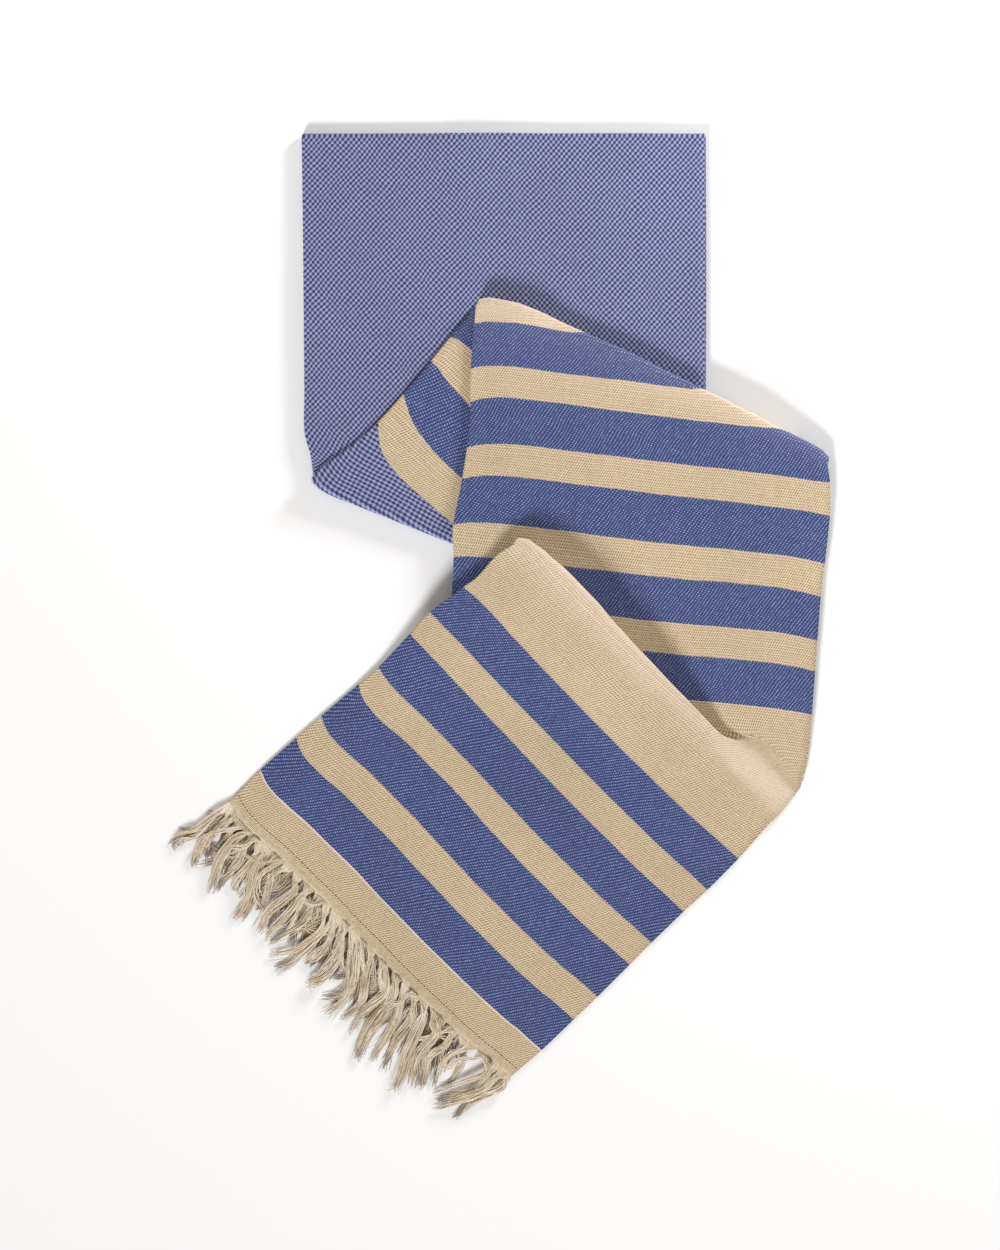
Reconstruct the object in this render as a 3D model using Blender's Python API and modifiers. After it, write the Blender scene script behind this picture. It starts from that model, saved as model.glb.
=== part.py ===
"""Hammam towel folded lengthwise in three and laid down in a zigzag, with loose yarn fringe.

The towel is first folded lengthwise into a strip of three sheets. The strip then runs back
and forth: a hidden return, the plain field, a flap, the banded run, a short tuck and the
banded end with the fringe. Each run lies on the runs under it and sinks to the floor beside
them. The tables give places in millimetres: +X is right, +Y is away along the plain field,
and +Z is up.
"""

import math
from collections import namedtuple
from functools import partial

import bmesh
import bpy
from mathutils import Vector

MM = 0.001

# The cloth and the strip
SHEET = 1.0               # thickness of one sheet
SHEET_GAP = 0.45          # air between two sheets of the strip
STRIP_WIDTH = 330.0
FREE_EDGE_GAP = 2.0       # from the left fold to the free edge of the middle sheet inside it
PITCH = SHEET + SHEET_GAP
STRIP_HEIGHT = 2 * PITCH + SHEET
TUCK_GAP = 2.0            # air under and over the tucked run
TUCK_STEP = STRIP_HEIGHT + TUCK_GAP
TUCK_RADIUS = TUCK_STEP / 2
FOLD_INSET = 5.0          # from a fold's outermost line to where its half turn begins

# How a run sinks to the floor beside the runs under it
SHELF = 9.0               # stays level this far past the edge under it,
SHELF_GROWTH = 12.0       # and this much further for each run more in between
SLOPE = 95.0              # then sinks over this distance

# The tuck: a pleat that dies out at the right edge
TUCK_START_LEFT = (-41.5, 2.1)
TUCK_START_RIGHT = (242.4, -142.3)
TUCK_FORWARD = Vector((-0.6116, -0.7914))
TUCK_REACH = 92.3         # start of the tuck to its visible ridge, at the left edge
TUCK_LOFT = 3.0           # how much larger its top fold is, at the left edge
TUCK_NARROWEST = 3.0      # what is left between its two folds where it starts to open
TUCK_CLOSED = 0.88        # share of the width over which the pleat is fully folded
TUCK_EDGE_LENGTH = 9.0    # cloth taken by the dying pleat at the right edge
TUCK_EDGE_TURN = 1.0      # what is left of the fold there, in radians
LOFT_FADE = 60.0

# The fringe
FRINGE_GAP = 0.35         # between the cloth's edge and the backing strip
BACKING = 5.0             # width of the backing strip
LOCKS = 14                # on each of the three sheets, which take turns along the hem
LOCK_ROOM = 1.0 / 14.2    # share of the hem for one lock of each sheet
MIDDLE_LANE, LOWER_LANE, UPPER_LANE = 0.25, 0.583, 0.917
LOCK_SHARE = 0.2          # a lock's width as a share of that room
LOCK_LENGTH = 67.0
LOCK_STEPS = 5
LOCK_TAPER = 0.5
LEAN, LEAN_SWING = -6.0, 5.0      # degrees from square to the hem where a lock leaves it
BEND, BEND_SWING = -2.0, 11.0     # degrees that it bends on its way

Rung = namedtuple("Rung", "left_x left_y right_x right_y rows")
Run = namedtuple("Run", "name gap_above shelf bow rungs")

# Each rung is a line across the strip, with the rows of faces that lead up to it.
# A run's gap is the air above it, and its bow is how far its last fold bulges outwards.
HIDDEN_RETURN = Run("hidden return", 1.0, 0.0, 0.0, [
    Rung(-162.5, 163.1, 168.0, 163.1, 0),
    Rung(-165.6, 410.4, 170.2, 410.4, 4),
])
FIELD = Run("field", 1.5, SHELF, 0.0, [
    Rung(-165.6, 410.4, 170.2, 410.4, 0),
    Rung(-163.5, 200.0, 170.2, 190.0, 5),
    Rung(-161.0, 140.0, 170.2, 90.0, 4),
    Rung(-160.0, 116.3, 170.2, -15.3, 4),
])
FLAP = Run("flap", 1.8, SHELF + SHELF_GROWTH, 7.0, [
    Rung(-160.0, 116.3, 170.2, -15.3, 0),
    Rung(-101.6, 170.6, 208.0, 37.0, 2),
    Rung(-18.3, 272.0, 270.0, 143.0, 4),
])
BANDS = Run("bands", TUCK_GAP, SHELF + 2 * SHELF_GROWTH, 0.0, [
    Rung(-18.3, 272.0, 270.0, 143.0, 0),
    Rung(-25.7, 205.0, 273.0, 121.0, 3),
    Rung(-32.4, 121.6, 273.2, 91.7, 3),
    Rung(-39.4, 57.0, 265.6, 24.5, 3),
    Rung(-41.0, 21.0, 256.0, -98.0, 2),
    Rung(*TUCK_START_LEFT, *TUCK_START_RIGHT, 2),
])
BANDED_END = Run("banded end", 0.0, SHELF + 2 * SHELF_GROWTH, 0.0, [
    Rung(14.9, 75.1, 245.7, -145.7, 0),
    Rung(-31.0, 32.8, 197.5, -192.7, 4),
    Rung(-75.5, -5.8, 151.9, -237.0, 3),
    Rung(-118.0, -47.7, 107.1, -281.0, 2),
    Rung(-170.2, -92.5, 60.6, -326.6, 2),
    Rung(-225.8, -144.8, 7.5, -374.7, 2),
])

FOLD_ROWS = 5
TUCK_ROWS = 4

# Points across each sheet between its two ends, closer where the tuck dies out
COLUMNS = (0.15, 0.30, 0.45, 0.60, 0.75, 0.88, 0.91, 0.95)
TURN_SPANS = 4            # faces round each lengthwise fold


def smooth(value):
    """Ease from 0 to 1."""
    value = max(0.0, min(1.0, value))
    return value * value * (3.0 - 2.0 * value)


def mix(first, second, share):
    return first + (second - first) * share


# ---------------------------------------------------------------- the strip's cross section

def arc(centre_x, centre_h, radius, start, turn, spans):
    """Points inside an arc, without its two ends."""
    points = []
    for index in range(1, spans):
        angle = start + turn * index / spans
        points.append((centre_x + radius * math.cos(angle), centre_h + radius * math.sin(angle)))
    return points


def strip_section(middle_shares, lower_shares, upper_shares):
    """The three sheets as (distance from the left edge, height above the middle sheet).

    The middle sheet starts inside the left fold, turns down at the right into the lower
    sheet, which turns up round the left edge into the upper sheet. The shares are the
    columns between a sheet's ends, from left to right.
    """
    left = PITCH + SHEET / 2
    right = STRIP_WIDTH - PITCH / 2 - SHEET / 2
    middle = sheet_points(left + FREE_EDGE_GAP, right, middle_shares, 0.0)
    lower = sheet_points(left, right, lower_shares, -PITCH)
    upper = sheet_points(left, STRIP_WIDTH - SHEET, upper_shares, PITCH)
    right_turn = arc(right, -PITCH / 2, PITCH / 2, math.pi / 2, -math.pi, TURN_SPANS)
    left_turn = arc(left, 0.0, PITCH, -math.pi / 2, -math.pi, TURN_SPANS)
    return middle + right_turn + lower[::-1] + left_turn + upper


def sheet_points(start, end, shares, height):
    distances = [start] + [share * STRIP_WIDTH for share in shares] + [end]
    return [(distance, height) for distance in distances]


# ---------------------------------------------------------------- places in plan

def across(rung, share):
    """A point on a rung, by its share of the way from left to right."""
    return Vector((mix(rung.left_x, rung.right_x, share), mix(rung.left_y, rung.right_y, share)))


def outward(rung, inner_rung):
    """The level direction that points out of a run at one of its end rungs."""
    along = (across(rung, 1.0) - across(rung, 0.0)).normalized()
    normal = Vector((-along.y, along.x))
    if normal.dot(across(rung, 0.5) - across(inner_rung, 0.5)) < 0:
        normal = -normal
    return normal


def fold_entry(run, share):
    """Where a run ends and its half turn begins, inside the fold's outermost line."""
    rung, inner_rung = run.rungs[-1], run.rungs[-2]
    bow = run.bow * 4.0 * share * (1.0 - share)
    return across(rung, share) + outward(rung, inner_rung) * (bow - FOLD_INSET)


def spline(points, position):
    """A smooth curve through the points; position counts them from 0."""
    index = min(int(position), len(points) - 2)
    t = position - index
    start, end = points[index], points[index + 1]
    before = points[index - 1] if index > 0 else start * 2 - end
    after = points[index + 2] if index + 2 < len(points) else end * 2 - start
    leave = (end - before) / 2
    arrive = (after - start) / 2
    return (start * (2 * t ** 3 - 3 * t ** 2 + 1) + leave * (t ** 3 - 2 * t ** 2 + t)
            + end * (3 * t ** 2 - 2 * t ** 3) + arrive * (t ** 3 - t ** 2))


# ---------------------------------------------------------------- heights

def footprint(run):
    """The four corners of a run in plan, in order round it."""
    first, last = run.rungs[0], run.rungs[-1]
    return [across(first, 0.0), across(first, 1.0), across(last, 1.0), across(last, 0.0)]


def cover(corners, place, shelf):
    """1 on a run and on the shelf round it, easing to 0 at the foot of the slope."""
    middle = sum(corners, Vector((0.0, 0.0))) / len(corners)
    distance = -math.inf
    for index, corner in enumerate(corners):
        along = (corners[(index + 1) % len(corners)] - corner).normalized()
        normal = Vector((along.y, -along.x))
        if normal.dot(middle - corner) > 0:
            normal = -normal
        distance = max(distance, normal.dot(place - corner))
    return 1.0 - smooth((distance - shelf) / SLOPE)


def rise(runs_below, place, shelf):
    """Height of the strip's underside on the runs below it."""
    return sum((STRIP_HEIGHT + run.gap_above) * cover(footprint(run), place, shelf)
               for run in runs_below)


# ---------------------------------------------------------------- the tuck

def tuck_start(share):
    return Vector(TUCK_START_LEFT).lerp(Vector(TUCK_START_RIGHT), share)


def tuck_shape(share):
    """Turn, straight length and top radius of the pleat at a share of the width."""
    if share <= TUCK_CLOSED:
        open_share = 1.0 - share / TUCK_CLOSED
        radius = TUCK_RADIUS + TUCK_LOFT * open_share
        shortest = TUCK_RADIUS + STRIP_HEIGHT / 2 + TUCK_NARROWEST
        reach = mix(shortest, TUCK_REACH, open_share)
        return math.pi, reach - radius - STRIP_HEIGHT / 2, radius
    dying = (share - TUCK_CLOSED) / (1.0 - TUCK_CLOSED)
    closed_length = TUCK_NARROWEST + 2.0 * math.pi * TUCK_RADIUS
    turn = mix(math.pi, TUCK_EDGE_TURN, dying)
    length = mix(closed_length, TUCK_EDGE_LENGTH, dying)
    return turn, length - 2.0 * TUCK_RADIUS * turn, TUCK_RADIUS


def tuck_profile(share, position):
    """Forward distance, height and slope angle along the pleat; position runs 0 to 3."""
    turn, straight, top_radius = tuck_shape(share)
    first = min(position, 1.0) * turn
    forward = TUCK_RADIUS * math.sin(first)
    height = TUCK_RADIUS * (1.0 - math.cos(first))
    middle = max(0.0, min(1.0, position - 1.0)) * straight
    forward += middle * math.cos(turn)
    height += middle * math.sin(turn)
    last = turn - max(0.0, position - 2.0) * turn
    forward += top_radius * (math.sin(turn) - math.sin(last))
    height += top_radius * (math.cos(last) - math.cos(turn))
    return forward, height, last if position > 2.0 else first


def tuck_end(share):
    forward, height, _ = tuck_profile(share, 3.0)
    return tuck_start(share) + TUCK_FORWARD * forward, height


# The bands and the tuck on them, which the banded end lies on
TUCK_CORNERS = [across(BANDS.rungs[0], 0.0), across(BANDS.rungs[0], 1.0),
                tuck_start(1.0), tuck_start(0.0)]


# ---------------------------------------------------------------- rows of the cloth
# A row is a function of (share across, level): level is the height above the middle sheet.

def run_rows(run, start, end, face, height):
    """Rows of a run. Its first and last rows follow start(share) and end(share)."""
    positions = [0.0]
    for span, rung in enumerate(run.rungs[1:]):
        positions += [span + (index + 1) / rung.rows for index in range(rung.rows)]

    def row_at(position):
        def row(share, level):
            inner = [across(rung, share) for rung in run.rungs[1:-1]]
            spot = spline([start(share)] + inner + [end(share)], position)
            middle = height(spot, share) + STRIP_HEIGHT / 2
            return Vector((spot.x, spot.y, middle + face * level))
        return row
    return [row_at(position) for position in positions]


def fold_rows(run, face, height, next_height):
    """Rows of the half turn that lifts the strip off the end of a run, without its two ends."""
    normal = outward(run.rungs[-1], run.rungs[-2])

    def row_at(angle):
        def row(share, level):
            spot = fold_entry(run, share)
            fold_radius = (next_height(spot, share) - height(spot, share)) / 2
            middle = height(spot, share) + STRIP_HEIGHT / 2 + fold_radius
            radius = fold_radius - face * level
            spot += normal * (radius * math.sin(angle))
            return Vector((spot.x, spot.y, middle - radius * math.cos(angle)))
        return row
    return [row_at(math.pi * index / FOLD_ROWS) for index in range(1, FOLD_ROWS)]


def tuck_rows(height):
    """Rows of the pleat, from just past the end of the bands to just before the banded end."""
    positions = [index / FOLD_ROWS for index in range(1, FOLD_ROWS + 1)]
    positions += [1.0 + index / TUCK_ROWS for index in range(1, TUCK_ROWS + 1)]
    positions += [2.0 + index / FOLD_ROWS for index in range(1, FOLD_ROWS)]

    def row_at(position):
        def row(share, level):
            forward, lift, slope = tuck_profile(share, position)
            spot = tuck_start(share) + TUCK_FORWARD * forward
            base = height(spot, share) + STRIP_HEIGHT / 2
            spot -= TUCK_FORWARD * (level * math.sin(slope))
            return Vector((spot.x, spot.y, base + lift + level * math.cos(slope)))
        return row
    return [row_at(position) for position in positions]


def height_on(runs_below, shelf):
    return lambda spot, share: rise(runs_below, spot, shelf)


def banded_end_height(spot, share):
    """The banded end lies on the tuck, which is gone at the right edge, and falls from its ridge."""
    start, lift = tuck_end(share)
    thickness = min(1.0, lift / (2.0 * TUCK_STEP))
    under = rise([HIDDEN_RETURN, FIELD, FLAP], spot, BANDED_END.shelf)
    tucked = 2.0 * TUCK_STEP * thickness * cover(TUCK_CORNERS, spot, SHELF)
    distance = (spot - start).length
    loft = (lift - 2.0 * TUCK_STEP * thickness) * (1.0 - smooth(distance / LOFT_FADE))
    return under + tucked + loft


def cloth_rows():
    """All rows of the cloth, from its hidden end to its hem."""
    rows = []
    runs = [HIDDEN_RETURN, FIELD, FLAP, BANDS]
    heights = [height_on(runs[:index], run.shelf) for index, run in enumerate(runs)]
    faces = [-1, 1, -1, 1]
    start = partial(across, HIDDEN_RETURN.rungs[0])
    for index, run in enumerate(runs[:-1]):
        end = partial(fold_entry, run)
        rows += run_rows(run, start, end, faces[index], heights[index])
        rows += fold_rows(run, faces[index], heights[index], heights[index + 1])
        start = end
    rows += run_rows(BANDS, start, tuck_start, faces[-1], heights[-1])
    rows += tuck_rows(heights[-1])
    hem = partial(across, BANDED_END.rungs[-1])
    rows += run_rows(BANDED_END, lambda share: tuck_end(share)[0], hem, 1, banded_end_height)
    return rows


# ---------------------------------------------------------------- the pieces

def new_material(name, colour, roughness):
    material = bpy.data.materials.new(name)
    material.use_nodes = True
    shader = material.node_tree.nodes["Principled BSDF"]
    shader.inputs["Base Color"].default_value = (*colour, 1.0)
    shader.inputs["Roughness"].default_value = roughness
    shader.inputs["Metallic"].default_value = 0.0
    return material


def sheet_object(name, mesh, material, collection):
    """An open sheet in millimetres, given its thickness and turned into metres."""
    mesh.materials.append(material)
    mesh.shade_smooth()
    piece = bpy.data.objects.new(name, mesh)
    collection.objects.link(piece)
    solid = piece.modifiers.new("Thickness", "SOLIDIFY")
    solid.thickness = SHEET * MM
    solid.offset = 0.0
    triangles = piece.modifiers.new("Like triangles on stacked sheets", "TRIANGULATE")
    triangles.quad_method = "SHORTEST_DIAGONAL"
    return piece


def grid_on_rows(rows, section):
    """A grid with a line of points on every row, following the section across the strip."""
    sheet = bmesh.new()
    bmesh.ops.create_grid(sheet, x_segments=len(section) - 1, y_segments=len(rows) - 1, size=1.0)
    sheet.verts.ensure_lookup_table()
    for index, vertex in enumerate(sheet.verts):
        row = rows[index // len(section)]
        distance, level = section[index % len(section)]
        vertex.co = row(distance / STRIP_WIDTH, level) * MM
    return sheet


def finish_mesh(sheet, name):
    bmesh.ops.recalc_face_normals(sheet, faces=sheet.faces)
    mesh = bpy.data.meshes.new(name)
    sheet.to_mesh(mesh)
    sheet.free()
    return mesh


def make_cloth(collection):
    section = strip_section(COLUMNS, COLUMNS, COLUMNS)
    sheet = grid_on_rows(cloth_rows(), section)
    material = new_material("woven cotton", (0.13, 0.17, 0.38), 0.9)
    return sheet_object("cloth", finish_mesh(sheet, "cloth"), material, collection)


def lock_way(share):
    """How a lock leaves the hem, as an angle from square to it, and how far it then bends."""
    lean = math.radians(LEAN + LEAN_SWING * math.sin(2.0 * math.pi * (1.7 * share + 0.1)))
    bend = math.radians(BEND + BEND_SWING * math.sin(2.0 * math.pi * (1.3 * share + 0.55)))
    return lean, bend


def lock_point(middle, side, level, step):
    """A point on a lock: middle is its distance along the hem, side is off its own middle."""
    rung = BANDED_END.rungs[-1]
    out = outward(rung, BANDED_END.rungs[-2])
    share = middle / STRIP_WIDTH
    lean, bend = lock_way(share)
    length = LOCK_LENGTH * (0.9 + 0.1 * math.cos(37.0 * share))
    heading = math.atan2(out.y, out.x) + lean
    spot = across(rung, share) + out * (FRINGE_GAP + BACKING)
    for _ in range(step):
        heading += bend / LOCK_STEPS
        spot += Vector((math.cos(heading), math.sin(heading))) * (length / LOCK_STEPS)
    taper = 1.0 - LOCK_TAPER * step / LOCK_STEPS
    spot += Vector((-math.sin(heading), math.cos(heading))) * (side * taper)
    height = mix(STRIP_HEIGHT / 2 + level, SHEET / 2, smooth(step / 2.0))
    return Vector((spot.x, spot.y, height)) * MM


def lane_shares(first):
    """Both sides of each lock along one sheet, the first one that far into its room."""
    shares = []
    for index in range(LOCKS):
        shares += [(first + index) * LOCK_ROOM, (first + index + LOCK_SHARE) * LOCK_ROOM]
    return shares


def make_fringe(collection):
    """A backing strip that follows the hem, with a row of locks on each of its sheets."""
    rung = BANDED_END.rungs[-1]
    out = outward(rung, BANDED_END.rungs[-2])

    def row_at(distance):
        def row(share, level):
            spot = across(rung, share) + out * distance
            return Vector((spot.x, spot.y, STRIP_HEIGHT / 2 + level))
        return row

    section = strip_section(lane_shares(MIDDLE_LANE), lane_shares(LOWER_LANE), lane_shares(UPPER_LANE))
    sheet = grid_on_rows([row_at(FRINGE_GAP), row_at(FRINGE_GAP + BACKING)], section)
    sheet.verts.ensure_lookup_table()
    outer_row = sheet.verts[len(section):]
    points_on_one_sheet = 2 * LOCKS + 2
    roots = []
    for sheet_index in range(3):
        first_column = sheet_index * (points_on_one_sheet + TURN_SPANS - 1)
        for lock in range(LOCKS):
            column = first_column + 1 + 2 * lock
            roots.append([(outer_row[side], section[side]) for side in (column, column + 1)])
    for root in roots:
        grow_lock(sheet, root)
    material = new_material("fringe yarn", (0.70, 0.62, 0.45), 0.95)
    return sheet_object("fringe", finish_mesh(sheet, "fringe"), material, collection)


def grow_lock(sheet, root):
    """Extrude one edge of the backing strip into a lock, step by step."""
    middle = sum(section_point[0] for _, section_point in root) / 2
    places = dict(root)
    for step in range(1, LOCK_STEPS + 1):
        edge = sheet.edges.get(list(places))
        grown = bmesh.ops.extrude_edge_only(sheet, edges=[edge])["geom"]
        new_places = {}
        for vertex in (item for item in grown if isinstance(item, bmesh.types.BMVert)):
            side_edge = next(link for link in vertex.link_edges if link.other_vert(vertex) in places)
            distance, level = places[side_edge.other_vert(vertex)]
            vertex.co = lock_point(middle, distance - middle, level, step)
            new_places[vertex] = (distance, level)
        places = new_places


# ---------------------------------------------------------------- the towel

def centre_on_floor(pieces):
    """Move the pieces so that the origin is under the middle of them all."""
    corners = []
    graph = bpy.context.evaluated_depsgraph_get()
    for piece in pieces:
        corners += [Vector(corner) for corner in piece.evaluated_get(graph).bound_box]
    for axis in (0, 1):
        values = [corner[axis] for corner in corners]
        for piece in pieces:
            piece.location[axis] = -(min(values) + max(values)) / 2


def main():
    for old in list(bpy.data.objects):
        bpy.data.objects.remove(old)
    towel = bpy.data.collections.new("hammam towel")
    bpy.context.scene.collection.children.link(towel)
    centre_on_floor([make_cloth(towel), make_fringe(towel)])


main()
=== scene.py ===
import math
import random
from collections import namedtuple
from functools import partial

import bmesh
import bpy
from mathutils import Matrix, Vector, noise


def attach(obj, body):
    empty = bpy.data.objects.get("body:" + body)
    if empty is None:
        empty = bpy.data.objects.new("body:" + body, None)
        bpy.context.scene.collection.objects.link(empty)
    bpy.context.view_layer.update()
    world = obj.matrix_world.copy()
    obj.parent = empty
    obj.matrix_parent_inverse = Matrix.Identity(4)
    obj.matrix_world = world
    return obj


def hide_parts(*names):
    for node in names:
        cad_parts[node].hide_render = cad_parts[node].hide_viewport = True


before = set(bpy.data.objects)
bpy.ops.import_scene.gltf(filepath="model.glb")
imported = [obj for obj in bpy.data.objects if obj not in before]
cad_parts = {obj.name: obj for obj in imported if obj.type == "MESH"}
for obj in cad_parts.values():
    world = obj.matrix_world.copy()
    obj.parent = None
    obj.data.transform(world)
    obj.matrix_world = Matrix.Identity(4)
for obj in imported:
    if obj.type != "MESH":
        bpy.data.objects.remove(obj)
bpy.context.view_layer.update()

MM = 0.001


# ---------------------------------------------------------------- floor, light and camera
# The towel lies on a plain pale floor and is seen from straight above through a long lens.
# A soft sun stands low beyond the hem, a lamp beyond the far right corner catches the rolls of
# the folds, and an even warm sky fills the shadows.

def linear(red, green, blue):
    """A colour given in the usual 0 to 255 steps, as the shaders take it."""
    steps = [value / 255.0 for value in (red, green, blue)]
    return tuple(step / 12.92 if step <= 0.04045 else ((step + 0.055) / 1.055) ** 2.4
                 for step in steps) + (1.0,)


def new_shader(name, roughness):
    """A material with its node tree and its Principled BSDF."""
    material = bpy.data.materials.new(name)
    material.use_nodes = True
    shader = material.node_tree.nodes["Principled BSDF"]
    shader.inputs["Roughness"].default_value = roughness
    return material, material.node_tree, shader


def mesh_piece(shape, name, material):
    """A bmesh turned into a smooth piece with one material."""
    mesh = bpy.data.meshes.new(name)
    shape.to_mesh(mesh)
    shape.free()
    mesh.materials.append(material)
    mesh.shade_smooth()
    piece = bpy.data.objects.new(name, mesh)
    bpy.context.scene.collection.objects.link(piece)
    return piece


FLOOR_HALF, FLOOR_COLOUR = 6.0, (0.9, 0.9, 0.9, 1.0)
shape = bmesh.new()
bmesh.ops.create_grid(shape, x_segments=1, y_segments=1, size=FLOOR_HALF)
material, _, shader = new_shader("pale_floor", 0.9)
shader.inputs["Base Color"].default_value = FLOOR_COLOUR
floor = mesh_piece(shape, "floor", material)

SKY_COLOUR, SKY_STRENGTH = (1.0, 0.96, 0.88, 1.0), 0.39
sky = bpy.data.worlds.new("sky")
sky.use_nodes = True
sky.node_tree.nodes["Background"].inputs["Color"].default_value = SKY_COLOUR
sky.node_tree.nodes["Background"].inputs["Strength"].default_value = SKY_STRENGTH
bpy.context.scene.world = sky

# Name, kind, place in metres, power, and the angle of the sun's disc or the side of the lamp. The
# sun counts as far away, so it lights the whole floor alike.
LAMP_COLOUR = (1.0, 1.0, 1.03)
for name, kind, place, power, spread in (
        ("low_lamp", "SUN", (-1.2, -2.87, 1.87), 3.3, 0.25),
        ("far_lamp", "AREA", (0.98, 1.2, 0.5), 23.0, 0.4)):
    lamp = bpy.data.lights.new(name, kind)
    setattr(lamp, "angle" if kind == "SUN" else "size", spread)
    lamp.energy = power
    lamp.color = LAMP_COLOUR
    stand = bpy.data.objects.new(name, lamp)
    stand.location = place
    stand.rotation_euler = (-Vector(place)).to_track_quat("-Z", "Y").to_euler()
    bpy.context.scene.collection.objects.link(stand)

VIEW_MIDDLE = (-0.0005, -0.0007)
VIEW_LEVEL = 0.012        # the height in the cloth at which the picture is to scale, in metres
VIEW_HEIGHT = 7.0         # of the camera over that level
VIEW_LENGTH = 1.0375      # what the picture's height takes in there
lens = bpy.data.cameras.new("camera")
lens.lens = lens.sensor_width * VIEW_HEIGHT / VIEW_LENGTH
camera = bpy.data.objects.new("camera", lens)
camera.location = (*VIEW_MIDDLE, VIEW_HEIGHT + VIEW_LEVEL)
bpy.context.scene.collection.objects.link(camera)
bpy.context.scene.camera = camera
bpy.context.scene.view_settings.view_transform = "Standard"


# ---------------------------------------------------------------- towel
# One piece of woven cotton, 1.0 m wide, folded lengthwise in three and then laid in a zigzag:
# a hidden return, the plain field, a flap, the banded run, a short tuck and the banded end.
# The tables are in millimetres, and the lengths are measured along the cloth from its hem.

SHEET = 1.0
PITCH = 1.45              # from one sheet of the strip to the next
STRIP_WIDTH = 330.0
STRIP_HEIGHT = 2 * PITCH + SHEET
FREE_EDGE_GAP = 2.0       # between the cloth's inner edge and the bend that it lies in
FOLD_INSET = 5.0          # from the outermost line of a fold to where its half turn begins
CORNER_FADE = 0.018       # the share of the width over which the end of a fold is rounded
# An upper run lies level for a shelf past the edge of a lower one, and then slopes down
SHELF, SHELF_GROWTH, SLOPE = 9.0, 12.0, 95.0
ON_FLOOR = Vector((0.34, -1.95, 0.0))     # from the tables to the CAD's place

# The tuck is a pleat that narrows to the right, up to the share of the width where it is closed.
# Its edge bows, and its roll is lofty along the left half, but less so at the very left.
TUCK_GAP = 2.0
TUCK_STEP = STRIP_HEIGHT + TUCK_GAP
TUCK_RADIUS = TUCK_STEP / 2
TUCK_FORWARD = Vector((-0.6116, -0.7914))
TUCK_CLOSED = 0.76
TUCK_REACH, TUCK_NARROWEST = 92.3, 13.2
TUCK_CORNER, TUCK_CORNER_FADE = 1.5, 0.014
TUCK_LOFT, LOFT_GROWTH, LOFT_DROP, DROP_FROM = 7.5, 2.2, 0.45, 0.8
TUCK_BOW = ((0, 0), (0.03, 4.2), (0.08, 6.2), (0.16, 7.7), (0.26, 7.0), (0.35, 4.6), (0.44, 3.2),
            (0.58, 1.8), (0.76, 0.6), (1, 0))
LOFT_FADE = 75.0          # the way down the banded end over which that loft dies away

# Between two shares of the width the pleat turns into a soft ridge. Its back narrows at the right
# edge, where it also runs low, and its front falls only part of the way.
OPENING = (0.69, 0.85)
RIDGE_CREST, RIDGE_TURN = 16.0, 72.0      # how far over the bands it lies, and how that shrinks
RIDGE_BACK, RIDGE_EDGE, EDGE_FROM, RIDGE_FRONT = 22.0, 12.0, 0.84, 15.0
RIDGE_HEIGHT, RIDGE_FALL, RIDGE_LOSS, LOSS_FROM = 7.6, 0.45, 0.7, 0.88
CREST_POWER, CREST_SHARE = 7, 0.4         # these bring its crest to the pleat's outermost line
FRONT_LENGTH = 0.45       # how much of its front counts in the length of the banded end

# A rung is a line across the strip, with the rows of faces up to it and the cloth's length at its
# ends. edge is how much longer the cloth is at the very left, which fades over a share of the
# width, and near_left, middle and near_right are how far the rung sags down the strip there.
Rung = namedtuple("Rung", "left_x left_y right_x right_y rows left_length right_length "
                          "edge near_left middle fade near_right",
                  defaults=(0.0, 0.0, 0.0, 0.05, 0.0))
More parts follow.
